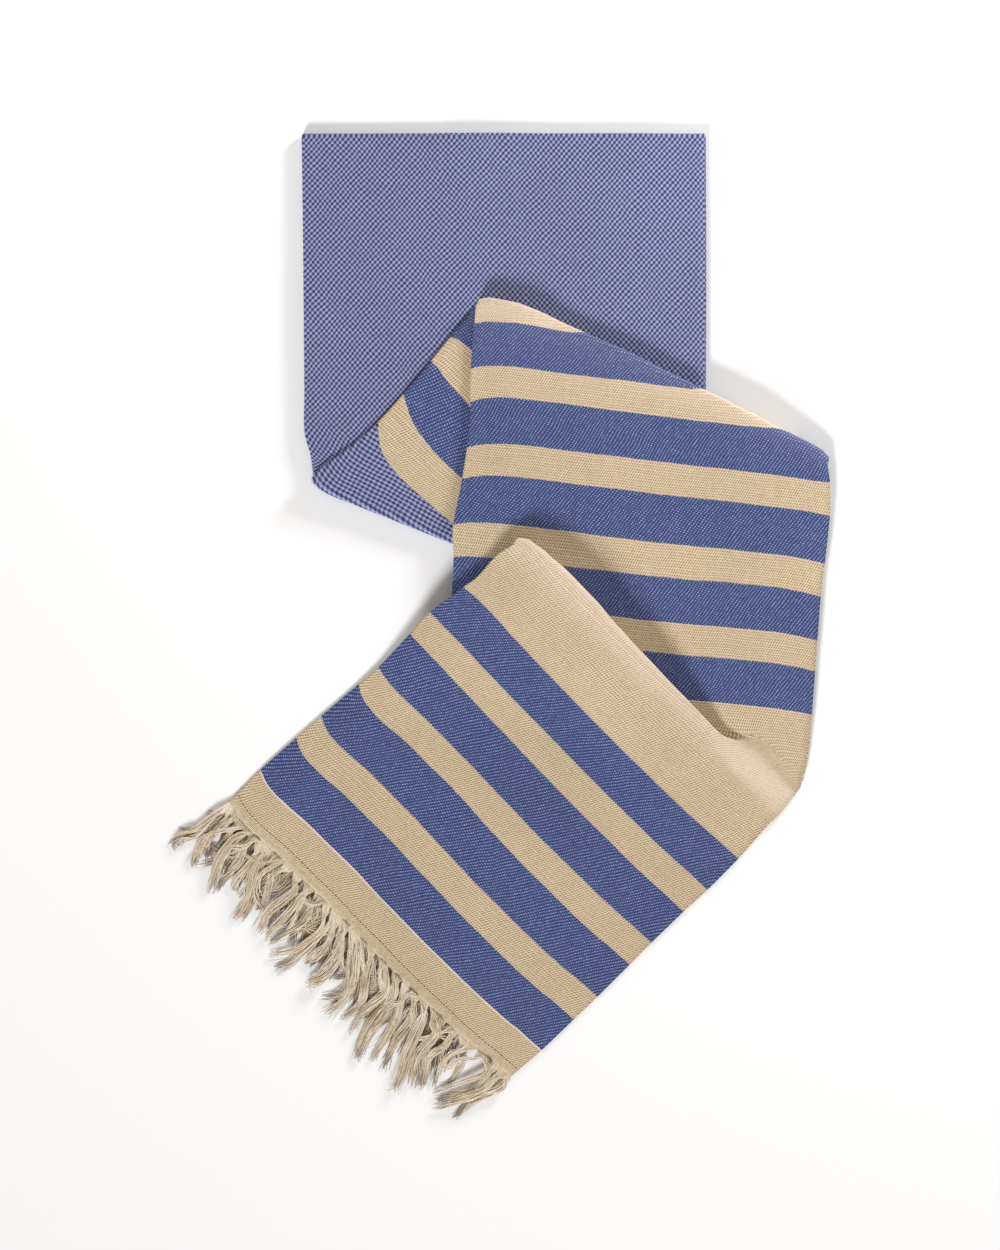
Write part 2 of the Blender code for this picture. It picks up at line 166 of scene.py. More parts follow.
# A run: the air above it, its shelf, which side of the strip is up, the bulge of its last fold,
# how far the ends of that fold are rounded, and its rungs.
Run = namedtuple("Run", "name air shelf face bulge corners rungs")
RUNS = [
    Run("hidden return", 1.0, 0.0, -1, 0.0, (0.0, 0.0), [
        Rung(-162.5, 163.1, 168.0, 163.1, 0, 1464.0, 1464.0),
        Rung(-165.6, 410.4, 170.2, 410.4, 16, 1215.0, 1215.0)]),
    Run("field", 1.5, SHELF, 1, 0.0, (6.0, 0.0), [
        Rung(-165.6, 410.4, 170.2, 410.4, 0, 1215.0, 1215.0),
        Rung(-164.3, 300.0, 170.6, 300.0, 18, 1105.0, 1105.0),
        Rung(-163.5, 200.0, 170.2, 190.0, 18, 1005.0, 995.0),
        Rung(-163.5, 163.1, 170.2, 130.0, 9, 968.0, 935.0),
        Rung(-158.5, 143.2, 170.2, 95.0, 7, 948.0, 900.0),
        Rung(-160.0, 116.3, 170.2, -15.3, 14, 910.5, 800.0, 21.5)]),
    Run("flap", 1.8, SHELF + SHELF_GROWTH, -1, 10.0, (1.5, 5.0), [
        Rung(-160.0, 116.3, 170.2, -15.3, 0, 910.5, 800.0, 21.5),
        Rung(-101.6, 170.6, 208.0, 37.0, 12, 837.0, 738.5, 21.2),
        Rung(-18.3, 272.0, 275.0, 143.5, 18, 733.0, 619.6, -12.5, fade=0.11)]),
    Run("bands", TUCK_GAP, SHELF + 2 * SHELF_GROWTH, 1, 0.0, (0.0, 0.0), [
        Rung(-18.3, 272.0, 275.0, 143.5, 0, 733.0, 619.6, -12.5, fade=0.11),
        Rung(-25.7, 205.0, 273.0, 121.0, 12, 645.3, 599.0, 7.5, near_right=-0.3),
        Rung(-25.7, 171.0, 273.6, 106.0, 7, 612.1, 584.0, 8.3, near_right=-1.1),
        Rung(-32.4, 121.6, 273.2, 91.7, 9, 562.7, 570.6, 7.5, near_right=-1.7),
        Rung(-39.8, 83.6, 269.5, 57.4, 8, 526.8, 538.2, 6.0, near_right=-2.6),
        Rung(-39.4, 57.0, 265.6, 24.5, 7, 502.8, 506.5, 3.3, near_right=-3.3),
        Rung(-41.0, 21.0, 256.0, -98.0, 14, 466.6, 380.3, 2.0, near_right=-1.8),
        Rung(-41.5, 2.1, 242.4, -142.3, 7, 447.6, 334.5)]),
    Run("banded end", 0.0, SHELF + 2 * SHELF_GROWTH, 1, 0.0, (0.0, 0.0), [
        Rung(14.9, 75.1, 245.7, -145.7, 0, 316.0, 325.4),
        Rung(-4.4, 58.3, 228.0, -159.6, 6, 304.5, 312.0, 0.0, -0.4, 1.4),
        Rung(-19.6, 41.4, 220.8, -166.4, 6, 282.5, 301.3, 0.0, -1.0, 3.5),
        Rung(-31.0, 32.8, 197.5, -192.7, 8, 266.4, 266.4, 0.0, -1.6, 3.5),
        Rung(-58.9, 12.0, 171.8, -218.7, 8, 229.1, 229.1, 0.0, 0.0, 3.1),
        Rung(-75.5, -5.8, 151.9, -237.0, 6, 202.5, 202.5, 0.0, 0.2, 3.2),
        Rung(-101.6, -33.6, 125.3, -262.7, 8, 165.2, 165.2, 0.0, 2.9, 4.2),
        Rung(-118.3, -47.7, 107.1, -281.0, 6, 138.6, 138.6, 0.0, 7.2, 6.1),
        Rung(-149.4, -74.3, 80.5, -307.5, 9, 101.3, 101.3, 0.0, 5.6, 6.0),
        Rung(-170.2, -92.5, 60.6, -326.6, 6, 74.7, 74.7, 0.0, 6.2, 5.7),
        Rung(-200.0, -119.1, 33.7, -352.3, 9, 37.0, 37.0, 0.0, 5.2, 5.3),
        Rung(-225.8, -144.8, 7.5, -374.7, 9, 0.0, 0.0, 0.0, 5.0, 5.5)])]
# How a rung's sags and a fold's bulge spread over the width, as (share, value)
LEFT_WAVE = ((0, 0), (0.025, 0.6), (0.06, 1), (0.1, 0.95), (0.2, 0.35), (0.35, 0), (1, 0))
RIGHT_WAVE = ((0, 0), (0.5, 0), (0.62, 0.25), (0.76, 0.75), (0.88, 1), (0.95, 0.6), (1, 0))
MIDDLE_WAVE = ((0, 0), (0.1, 0.1), (0.2, 0.35), (0.32, 0.6), (0.5, 0.88), (0.6, 1), (0.7, 0.94),
               (0.8, 0.82), (0.88, 0.58), (0.94, 0.2), (1, 0))
FOLD_WAVE = ((0, 0), (0.04, 0.45), (0.11, 0.82), (0.2, 1), (0.4, 1), (0.54, 0.8), (0.66, 0.64),
             (0.76, 0.42), (0.87, 0.1), (1, 0))
FOLD_ROWS = 10
TUCK_ROWS = 16
SPANS = 40                # of faces across each sheet of the strip
COLUMNS = [index / SPANS for index in range(1, SPANS)]
TURN_SPANS = 8
TUCK_FROM, TUCK_TO = RUNS[3].rungs[-1], RUNS[4].rungs[0]

# Soft creases of each run: from x, y to x, y, then half its width and its height
CREASES = {
    "field": [(-150, 128, -125, 165, 9, 1.6), (-40, 398, 120, 392, 12, 1.3),
              (20, 370, 60, 250, 34, -0.8), (-130, 330, -60, 200, 40, 1.1),
              (-158, 300, -152, 170, 8, 1.0), (-20, 300, 70, 262, 26, 1.1)],
    "flap": [(-140, 118, -60, 140, 16, 0.8), (-70, 150, -30, 205, 9, 0.8)],
    "bands": [(-14, 268, 22, 256, 17, 4.0), (6, 250, 3, 120, 12, 1.3), (60, 140, 102, 112, 5, 1.1),
              (150, 190, 170, 60, 32, -0.9), (120, 32, 262, -66, 27, 1.5)],
    "banded end": [(-84, -49, -202, -168, 11, 1.7), (-50, -5, -88, -40, 9, 1.0),
                   (60, -120, -60, -235, 36, -0.9), (110, -160, 10, -262, 22, 0.9)]}
RIPPLE, RIPPLE_SIZE = 0.55, 62.0          # the cloth's own unevenness
RIPPLE_SLICE = 400.0      # sets the noise of the runs apart


def smooth(value):
    """An ease from 0 to 1, level outside."""
    value = max(0.0, min(1.0, value))
    return value * value * (3.0 - 2.0 * value)


def smooth_from(start, value):
    """0 up to the start, and an ease from there to 1 at 1."""
    return smooth((value - start) / (1.0 - start))


def mix(first, second, share):
    return first + (second - first) * share


def wave(table, share):
    """The value of a table of (share, value) at a share, eased between its points."""
    for (start, low), (end, high) in zip(table, table[1:]):
        if share <= end:
            return mix(low, high, smooth((share - start) / (end - start)))
    return 0.0


def arc(centre_x, centre_h, radius, start, turn):
    """Points inside an arc, without its two ends."""
    points = []
    for index in range(1, TURN_SPANS):
        angle = start + turn * index / TURN_SPANS
        points.append((centre_x + radius * math.cos(angle), centre_h + radius * math.sin(angle)))
    return points


def strip_section():
    """The three sheets, one after another, as (distance from the left, height, length across)."""
    left = PITCH + SHEET / 2
    right = STRIP_WIDTH - PITCH / 2 - SHEET / 2
    points = [(left + FREE_EDGE_GAP, 0.0)] + [(share * STRIP_WIDTH, 0.0) for share in COLUMNS]
    points.append((right, 0.0))
    points += arc(right, -PITCH / 2, PITCH / 2, math.pi / 2, -math.pi)
    points.append((right, -PITCH))
    points += [(share * STRIP_WIDTH, -PITCH) for share in reversed(COLUMNS)] + [(left, -PITCH)]
    points += arc(left, 0.0, PITCH, -math.pi / 2, -math.pi) + [(left, PITCH)]
    points += [(share * STRIP_WIDTH, PITCH) for share in COLUMNS] + [(STRIP_WIDTH - SHEET, PITCH)]
    length, section = 0.0, []
    for index, point in enumerate(points):
        if index:
            length += math.dist(point, points[index - 1])
        section.append((*point, length))
    return section


def across(rung, share):
    """A point in plan on a rung's straight line."""
    return Vector((mix(rung.left_x, rung.right_x, share), mix(rung.left_y, rung.right_y, share)))


def outward(rung, inner_rung):
    """The level direction that points out of a run at one of its end rungs."""
    along = (across(rung, 1.0) - across(rung, 0.0)).normalized()
    normal = Vector((-along.y, along.x))
    return -normal if normal.dot(across(rung, 0.5) - across(inner_rung, 0.5)) < 0 else normal


def on_rung(rung, share):
    """A point on a rung with its sag, and then its lengths along the stripes and the threads."""
    along = (across(rung, 1.0) - across(rung, 0.0)).normalized()
    sag = rung.near_left * wave(LEFT_WAVE, share) + rung.middle * wave(MIDDLE_WAVE, share)
    sag += rung.near_right * wave(RIGHT_WAVE, share)
    spot = across(rung, share) + Vector((along.y, -along.x)) * sag
    length = mix(rung.left_length, rung.right_length, share)
    return Vector((*spot, length + rung.edge * math.exp(-share / rung.fade), length))


def fold_entry(run, share):
    """Where a run ends and its half turn begins, inside the fold's outermost line."""
    rung = run.rungs[-1]
    push = run.bulge * wave(FOLD_WAVE, share) - FOLD_INSET
    push -= (run.corners[0] * math.exp(-share / CORNER_FADE)
             + run.corners[1] * math.exp((share - 1.0) / CORNER_FADE))
    normal = outward(rung, run.rungs[-2])
    spot = on_rung(rung, share)
    return spot + Vector((*(normal * push), 0.0, 0.0))


def fold_radius(level, spot):
    """Half the way from a run up to the next one, at a place in plan."""
    return (rise(level + 1, spot) - max(0.0, rise(level, spot))) / 2


def fold_end(level, share, side):
    """The end of a half turn, with its length: side is 1 before the turn and -1 after it."""
    spot = fold_entry(RUNS[level], share)
    return spot + Vector((0.0, 0.0, 1.0, 1.0)) * (side * fold_radius(level, spot) * math.pi / 2)


def spline(points, position):
    """A smooth curve through the points; position counts them from 0."""
    index = min(int(position), len(points) - 2)
    t = position - index
    start, end = points[index], points[index + 1]
    before = points[index - 1] if index > 0 else start * 2 - end
    after = points[index + 2] if index + 2 < len(points) else end * 2 - start
    leave, arrive = (end - before) / 2, (after - start) / 2
    return (start * (2 * t ** 3 - 3 * t ** 2 + 1) + leave * (t ** 3 - 2 * t ** 2 + t)
            + end * (3 * t ** 2 - 2 * t ** 3) + arrive * (t ** 3 - t ** 2))


def edges_of(run):
    """Each edge of a run's outline in plan, as a corner and the level direction out of it."""
    first, last = run.rungs[0], run.rungs[-1]
    corners = [across(first, 0.0), across(first, 1.0), across(last, 1.0), across(last, 0.0)]
    middle = sum(corners, Vector((0.0, 0.0))) / 4
    edges = []
    for index, corner in enumerate(corners):
        along = (corners[(index + 1) % 4] - corner).normalized()
        normal = Vector((along.y, -along.x))
        edges.append((corner, -normal if normal.dot(middle - corner) > 0 else normal))
    return edges


def cover(edges, spot, shelf):
    """1 on a run and on the shelf round it, easing to 0 at the foot of the slope."""
    distance = max(normal.x * (spot.x - corner.x) + normal.y * (spot.y - corner.y)
                   for corner, normal in edges)
    return 1.0 - smooth((distance - shelf) / SLOPE)


OUTLINES = [edges_of(run) for run in RUNS[:4]]


def relief(name, spot):
    """How far a run's own creases and unevenness lift it."""
    ripple = noise.noise(Vector((spot.x, spot.y, RIPPLE_SLICE * len(name))) / RIPPLE_SIZE)
    height = RIPPLE * ripple
    place = Vector((spot.x, spot.y))
    for x1, y1, x2, y2, width, lift in CREASES.get(name, ()):
        start, way = Vector((x1, y1)), Vector((x2 - x1, y2 - y1))
        share = max(0.0, min(1.0, (place - start).dot(way) / way.length_squared))
        distance = (place - start - way * share).length
        height += lift * math.exp(-(distance / width) ** 2)
    return height


def rise(level, spot, layers=None):
    """Height of a run's underside on the runs below it, or on that many, with their creases."""
    height = relief(RUNS[level].name, spot) if level else 0.0
    for below in range(level if layers is None else layers):
        step = STRIP_HEIGHT + RUNS[below].air
        height += step * cover(OUTLINES[below], spot, RUNS[level].shelf)
        height += relief(RUNS[below].name, spot) if below else 0.0
    return height


def pleat(share, position):
    """Forward distance, height and the share of the cloth spent, along the closed pleat."""
    open_share = max(0.0, 1.0 - share / TUCK_CLOSED)
    loft = smooth(open_share * LOFT_GROWTH)
    loft *= 1.0 - LOFT_DROP * smooth_from(DROP_FROM, open_share)
    radius = TUCK_RADIUS + TUCK_LOFT * loft
    shortest = TUCK_RADIUS + STRIP_HEIGHT / 2 + TUCK_NARROWEST
    reach = mix(shortest, TUCK_REACH, open_share) + wave(TUCK_BOW, share)
    reach -= TUCK_CORNER * math.exp(-share / TUCK_CORNER_FADE)
    straight = reach - radius - STRIP_HEIGHT / 2
    first = min(position, 1.0) * math.pi
    middle = max(0.0, min(1.0, position - 1.0)) * straight
    last = math.pi - max(0.0, position - 2.0) * math.pi
    forward = TUCK_RADIUS * math.sin(first) - middle - radius * math.sin(last)
    height = TUCK_RADIUS * (1.0 - math.cos(first)) + radius * (1.0 + math.cos(last))
    spent = TUCK_RADIUS * first + middle + radius * (math.pi - last)
    return forward, height, spent / ((TUCK_RADIUS + radius) * math.pi + straight)


def ridge(share, position, crest, back):
    """The same along the soft ridge, whose crest is at the pleat's outermost line."""
    way = mix((position / 3.0) ** CREST_POWER, position / 3.0, CREST_SHARE)
    forward = (back if way < 0.5 else RIDGE_FRONT) * (way * 2.0 - 1.0) - crest
    height = RIDGE_HEIGHT * math.sin(math.pi * way) ** 2
    if way > 0.5:
        height = mix(RIDGE_HEIGHT, height, RIDGE_FALL)
    height *= 1.0 - RIDGE_LOSS * smooth_from(LOSS_FROM, share)
    return forward, height, (forward + crest + back) / (back + RIDGE_FRONT)


def tuck_profile(share, position):
    """Forward distance, height and cloth length along the tuck; position runs 0 to 3."""
    gone = smooth((share - OPENING[0]) / (OPENING[1] - OPENING[0]))
    crest = RIDGE_CREST - RIDGE_TURN * (share - TUCK_CLOSED)
    back = mix(RIDGE_BACK, RIDGE_EDGE, smooth_from(EDGE_FROM, share))
    start, end = (mix(rung.left_length, rung.right_length, share) for rung in (TUCK_FROM, TUCK_TO))
    start += (crest + back) * gone
    end += wave(TUCK_BOW, share) + (crest - RIDGE_FRONT) * gone * FRONT_LENGTH
    forward, height, spent = (
        mix(closed, soft, gone)
        for closed, soft in zip(pleat(share, position), ridge(share, position, crest, back)))
    return forward, height, mix(start, end, spent)


def tuck_edge(share, position):
    """Where the tuck begins (at 0) or ends (at 3), and its height there."""
    forward, height, length = tuck_profile(share, position)
    spot = across(TUCK_FROM, share) + TUCK_FORWARD * forward
    return Vector((*spot, length, length)), height


def banded_end_height(spot, share):
    """Height of the banded end's underside: it lies on the tuck and falls from its roll."""
    start, lift = tuck_edge(share, 3.0)
    layers = min(2.0 * TUCK_STEP, lift)
    height = rise(4, spot, 3) + layers * cover(OUTLINES[3], spot, SHELF)
    distance = math.hypot(spot.x - start.x, spot.y - start.y)
    loft = lift - layers + relief("bands", start) - relief("banded end", start)
    return max(0.0, height + loft * (1.0 - smooth(distance / LOFT_FADE)))


def run_rows(level, start, end, height=None):
    """Rows of a run, each a function of (share, sheet level) for a point and its lengths."""
    run = RUNS[level]
    positions = [0.0]
    for span, rung in enumerate(run.rungs[1:]):
        positions += [span + (index + 1) / rung.rows for index in range(rung.rows)]

    def row_at(position):
        def row(share, sheet_level):
            inner = [on_rung(rung, share) for rung in run.rungs[1:-1]]
            spot = spline([start(share)] + inner + [end(share)], position)
            under = height(spot, share) if height else rise(level, spot)
            middle = max(0.0, under) + STRIP_HEIGHT / 2
            return Vector((spot.x, spot.y, middle + run.face * sheet_level)), spot.z, spot.w
        return row
    return [row_at(position) for position in positions]


def fold_rows(level):
    """Rows of the half turn that lifts the strip off the end of a run, without its two ends."""
    run = RUNS[level]
    normal = outward(run.rungs[-1], run.rungs[-2])

    def row_at(angle):
        def row(share, sheet_level):
            spot = fold_entry(run, share)
            turn = fold_radius(level, spot)
            radius = turn - run.face * sheet_level
            place = spot.to_2d() + normal * (radius * math.sin(angle))
            height = max(0.0, rise(level, spot)) + STRIP_HEIGHT / 2 + turn
            height -= radius * math.cos(angle)
            ahead = turn * (math.pi / 2 - angle)
            return Vector((*place, height)), spot.z + ahead, spot.w + ahead
        return row
    return [row_at(math.pi * index / FOLD_ROWS) for index in range(1, FOLD_ROWS)]


def tuck_rows():
    """Rows of the tuck, from just past the end of the bands to just before the banded end."""
    nudge = 0.02          # to either side of a position, to find the slope there
    positions = [index / FOLD_ROWS for index in range(1, FOLD_ROWS + 1)]
    positions += [1.0 + index / TUCK_ROWS for index in range(1, TUCK_ROWS + 1)]
    positions += [2.0 + index / FOLD_ROWS for index in range(1, FOLD_ROWS)]

    def row_at(position):
        def row(share, sheet_level):
            forward, lift, length = tuck_profile(share, position)
            behind, ahead = (tuck_profile(share, position + step) for step in (-nudge, nudge))
            slope = math.atan2(ahead[1] - behind[1], ahead[0] - behind[0])
            spot = across(TUCK_FROM, share) + TUCK_FORWARD * forward
            middle = rise(3, spot) + STRIP_HEIGHT / 2 + lift
            spot -= TUCK_FORWARD * (sheet_level * math.sin(slope))
            return Vector((*spot, middle + sheet_level * math.cos(slope))), length, length
        return row
    return [row_at(position) for position in positions]


def towel_rows():
    """All rows of the cloth, from its hidden end to its hem, and which lie on the folds' lines."""
    rows, bends = [], []
    start = partial(on_rung, RUNS[0].rungs[0])
    for level in range(3):
        rows += run_rows(level, start, partial(fold_end, level, side=1)) + fold_rows(level)
        bends.append(len(rows) - FOLD_ROWS // 2)
        start = partial(fold_end, level, side=-1)
    rows += run_rows(3, start, lambda share: tuck_edge(share, 0.0)[0]) + tuck_rows()
    bends.append(len(rows) - FOLD_ROWS // 2)
    rows += run_rows(4, lambda share: tuck_edge(share, 3.0)[0],
                     partial(on_rung, RUNS[4].rungs[-1]), banded_end_height)
    return rows, bends


MAP_SIZE = 2000.0         # of cloth to a unit of its two maps
WEAR_AND_HIGHLIGHT_ROWS = 8.0           # rows over which the wear and the painted highlight on a fold's line die away
rows, bends = towel_rows()
section = strip_section()
shape = bmesh.new()
bmesh.ops.create_grid(shape, x_segments=len(section) - 1, y_segments=len(rows) - 1, size=1.0,
                      calc_uvs=False)
shape.verts.ensure_lookup_table()
dyed, woven = [], []
wear = shape.verts.layers.float.new("wear")         # 1 on the lines of the upper two folds, which wear and a painted highlight make paler
for index, vertex in enumerate(shape.verts):
    row, column = divmod(index, len(section))
    distance, level, along = section[column]
    spot, *lengths = rows[row](distance / STRIP_WIDTH, level)
    vertex.co = (spot + ON_FLOOR) * MM
    nearest = min(abs(row - bend) for bend in bends[2:])
    vertex[wear] = math.exp(-(nearest / WEAR_AND_HIGHLIGHT_ROWS) ** 2)
    for places, length in zip((dyed, woven), lengths):
        places.append((along / MAP_SIZE, length / MAP_SIZE))
# One map has the stripes where the photo has them, and the other has the threads evenly spaced
for name, places in (("stripes", dyed), ("threads", woven)):
    layer = shape.loops.layers.uv.new(name)
    for face in shape.faces:
        for corner in face.loops:
            corner[layer].uv = places[corner.vert.index]
bmesh.ops.recalc_face_normals(shape, faces=shape.faces)


class Wire:
    """A socket of a shader. Sums and products of wires add their Math nodes."""

    def __init__(self, tree, node=None, output=0):
        self.tree, self.node, self.output = tree, node, output

    def add(self, kind, settings=None, inputs=None, output=0):
        """A node of that kind, with its settings and then the values or wires of its sockets."""
        node = self.tree.nodes.new(kind)
        for name, value in (settings or {}).items():
            setattr(node, name, value)
        for key, value in (inputs or {}).items():
            if isinstance(value, Wire):
                value.drive(node.inputs[key])
            else:
                node.inputs[key].default_value = value
        return Wire(self.tree, node, output)

    def drive(self, socket):
        """Link it to a socket of another node."""
        self.tree.links.new(self.node.outputs[self.output], socket)

    def out(self, output):
        """Another output of the same node."""
        return Wire(self.tree, self.node, output)

    def math(self, operation, *values):
        inputs = dict(enumerate((self, *values)))
        return self.add("ShaderNodeMath", {"operation": operation}, inputs)

    def __add__(self, other):
        return self.math("ADD", other)

    def __mul__(self, other):
        return self.math("MULTIPLY", other)

    def __sub__(self, other):
        return self.math("SUBTRACT", other)

    def __rsub__(self, other):
        return self.math("MULTIPLY_ADD", -1.0, other)

    def __truediv__(self, other):
        return self.math("DIVIDE", other)

    def swing(self):
        """1 at whole numbers and -1 halfway between them."""
        return (self * (2.0 * math.pi)).math("COSINE")

    def between(self, low, high):
        """1 from low to high, and 0 outside."""
        return self.math("GREATER_THAN", low) * self.math("LESS_THAN", high)

    def ease(self, low, high):
        """0 at low and 1 at high, eased between and level outside."""
        return self.add("ShaderNodeMapRange", {"interpolation_type": "SMOOTHSTEP"},
                        {"Value": self, "From Min": low, "From Max": high})

    def blend(self, first, second):
        """A colour between two, by this mask. The node's colours are its sockets 6 and 7."""
        return self.add("ShaderNodeMix", {"data_type": "RGBA"}, {0: self, 6: first, 7: second}, 2)

    def ramp(self, *stops):
        """A colour from a ramp of (place, colour)."""
        colour = self.add("ShaderNodeValToRGB", {}, {0: self})
        elements = colour.node.color_ramp.elements
        while len(elements) < len(stops):
            elements.new(1.0)
        for element, stop in zip(elements, stops):
            element.position, element.color = stop
        return colour

    def join(self, x, y, z=0.0):
        """A place from its coordinates."""
        return self.add("ShaderNodeCombineXYZ", {}, {0: x, 1: y, 2: z})

    def split(self, axis):
        """One coordinate of this place."""
        return self.add("ShaderNodeSeparateXYZ", {}, {0: self}).out(axis)

    def grain(self, place, scale, detail):
        """Noise from 0 to 1 at a place."""
        return self.add("ShaderNodeTexNoise", {},
                        {"Vector": place, "Scale": scale, "Detail": detail})

    def bump(self, strength, distance):
        """A normal from this height, for a depth in metres."""
        return self.add("ShaderNodeBump", {},
                        {"Height": self, "Strength": strength, "Distance": distance})


# In millimetres: places along the cloth from its hem, then steps of the weave
STRIPE, STRIPE_STEP = 37.35, 63.91
FIRST_STRIPES, SECOND_STRIPES = (37.4, 266.8), (405.9, 829.5)
BETWEEN_STRIPES, FIELD_START = 400.0, 858.2
HEM_LINE, HEM_LINE_HALF = 36.6, 0.45
STITCH_ROW, STITCH_ROW_HALF, STITCH, WEFT_END = 10.0, 0.85, 3.3, 6.0
TOOTH_STEP, TOOTH_DEPTH = 2.6, 0.65
DRIFT, SWAY = 5.0, 3.0
KNOT_ACROSS, KNOT_ALONG, DASH_ROW, DASH_STEP = 4.3, 4.9, 4.4, 3.5
BLUE_ROW, BLUE_STEP, BEIGE_ROW, BEIGE_STEP, WARP_STEP = 3.0, 1.9, 2.1, 2.2, 1.15
BACK_SHEET = (331.0, 657.0)       # across the cloth, the sheet that faces up on the flap
BEND_STEP, BEND_SHIFT, BEND_HALF = 329.3, 0.004, 0.012    # the strip's bends, and shares of it
THREAD_DEPTH = 0.0005     # in metres
BLUE_DEEP, BLUE, BLUE_DOT = linear(38, 50, 96), linear(54, 70, 120), linear(150, 164, 204)
BEIGE_DEEP, BEIGE, BEIGE_HIGH = linear(142, 116, 82), linear(190, 168, 136), linear(214, 197, 170)
LILAC_DEEP, LILAC_LOW = linear(38, 40, 76), linear(55, 58, 95)
LILAC, LILAC_HIGH = linear(87, 91, 129), linear(144, 149, 187)
WARP_DEEP, WARP_HIGH = linear(160, 136, 100), linear(232, 218, 193)
# The last two are a painted shade for the stitch holes, and a paler colour for the upper folds'
# lines: wear with a painted highlight
HEM_THREAD, HOLE_SHADE, WORN_AND_LIT = linear(222, 210, 198), linear(96, 80, 50), linear(245, 226, 216)

material, tree, shader = new_shader("woven_cotton", 0.88)
shader.inputs["Sheen Weight"].default_value = 0.2
shader.inputs["Sheen Roughness"].default_value = 0.45
shader.inputs["Sheen Tint"].default_value = (1.0, 0.92, 0.87, 1.0)
wire = Wire(tree)
place = wire.add("ShaderNodeUVMap", {"uv_map": "threads"})
u, v = place.split("X") * MAP_SIZE, place.split("Y") * MAP_SIZE
length = wire.add("ShaderNodeUVMap", {"uv_map": "stripes"}).split("Y") * MAP_SIZE

# The threads wander a little, and their thickness varies along them
drift = (wire.grain(wire.join(u, v), 0.035, 2.0) - 0.5) * DRIFT
sway = (wire.grain(wire.join(u, v, 50.0), 0.03, 2.0) - 0.5) * SWAY
u, v, length = u + drift, v + sway, length + sway * 0.5
slub = wire.grain(wire.join(u * 0.55, v * 0.03), 1.0, 3.0)
weft = wire.grain(wire.join(u * 0.03, v * 0.6, 9.0), 1.0, 3.0)
cloudy = wire.grain(wire.join(u, v, 20.0), 0.012, 3.0)
speckle = wire.grain(wire.join(u, v, 70.0), 0.55, 1.0)

# The stripes, with the small teeth of the threads that cross at their edges
teeth = (u / TOOTH_STEP).math("PINGPONG", 0.5) * (2.0 * TOOTH_DEPTH)
level = length + teeth
in_end = level.math("LESS_THAN", BETWEEN_STRIPES)
from_start = level - in_end * FIRST_STRIPES[0] - (1.0 - in_end) * SECOND_STRIPES[0]
in_stripe = (from_start / STRIPE_STEP).math("FRACT").math("LESS_THAN", STRIPE / STRIPE_STEP)
blue = in_stripe * (level.between(*FIRST_STRIPES) + level.between(*SECOND_STRIPES))
field = level.math("GREATER_THAN", FIELD_START)

# The plain field: pale floats with small dark points between them, longer on the cloth's back
back = u.between(*BACK_SHEET)
lattice = (u / KNOT_ACROSS).swing() * (v / KNOT_ALONG).swing() * 0.9
lattice = lattice + (u / KNOT_ACROSS - v / KNOT_ALONG).swing() * 0.12
dashed = ((u + v * 0.35) / DASH_ROW).swing() * 0.45 + ((v - u * 0.2) / DASH_STEP).swing() * 0.6
knots = lattice * (1.0 - back) + dashed * back + (speckle - 0.5) * 0.5
field_colour = knots.ease(-1.0, 1.0).ramp(
    (0.0, LILAC_DEEP), (0.2, LILAC_LOW), (0.46, LILAC), (0.82, LILAC_HIGH))

# The blue stripes: steep twill rows of pale dashes
twill = ((u - v * 0.67) / BLUE_ROW).swing()
steps = ((v + u * 0.25) / BLUE_STEP).swing()
points = (twill * 0.5 + 0.5) * (steps * 0.42 + 0.58) + (speckle - 0.5) * 0.95 + slub * 0.3 - 0.15
blue_colour = points.ease(0.3, 1.2).blend(
    twill.ease(-1.0, 0.5).blend(BLUE_DEEP, BLUE), BLUE_DOT)

# The beige: fine twill dashes
dashes = ((u - v * 0.5) / BEIGE_ROW).swing() * 0.5
dashes = dashes + (v / BEIGE_STEP).swing() * ((u / BEIGE_ROW).swing() * 0.3 + 0.3)
dashes = dashes + (speckle - 0.5) * 0.7
beige_colour = dashes.ease(-0.85, 0.85).ramp((0.0, BEIGE_DEEP), (0.45, BEIGE), (1.0, BEIGE_HIGH))

colour = blue.blend(beige_colour, blue_colour)
colour = field.blend(colour, field_colour)
from_line = (length + (slub - 0.5) * 1.2 - HEM_LINE).math("ABSOLUTE")
colour = from_line.math("LESS_THAN", HEM_LINE_HALF).blend(colour, HEM_THREAD)

# Past its row of stitches the weft ends, and only the warp threads run on side by side
warp = (u / WARP_STEP).swing() * 0.5 + speckle
loose = length.ease(STITCH_ROW, STITCH_ROW - WEFT_END) * 0.85
colour = loose.blend(colour, warp.ease(0.1, 1.2).blend(WARP_DEEP, WARP_HIGH))
# Painted shade in the holes of the row of stitches, and a fainter painted shade along the row's
# groove
from_row = ((length - STITCH_ROW) / STITCH_ROW_HALF).math("ABSOLUTE")
row_of_stitches = 1.0 - from_row.ease(0.4, 1.0)
hole_shade = (u / STITCH).swing().ease(-0.2, 0.7) * speckle.ease(0.25, 0.5)
colour = (row_of_stitches * (hole_shade * 0.75 + 0.2)).blend(colour, HOLE_SHADE)

# Uneven yarn, paler where the strip's bends have worn it, and paler along the lines of the upper
# two folds, where wear goes with a painted highlight as if light caught their rolls
from_bend = (u / BEND_STEP + BEND_SHIFT).math("FRACT").math("PINGPONG", 0.5)
side = 1.0 - from_bend.ease(0.0, BEND_HALF)
worn_and_lit = wire.add("ShaderNodeAttribute", {"attribute_name": "wear"}).out("Fac")
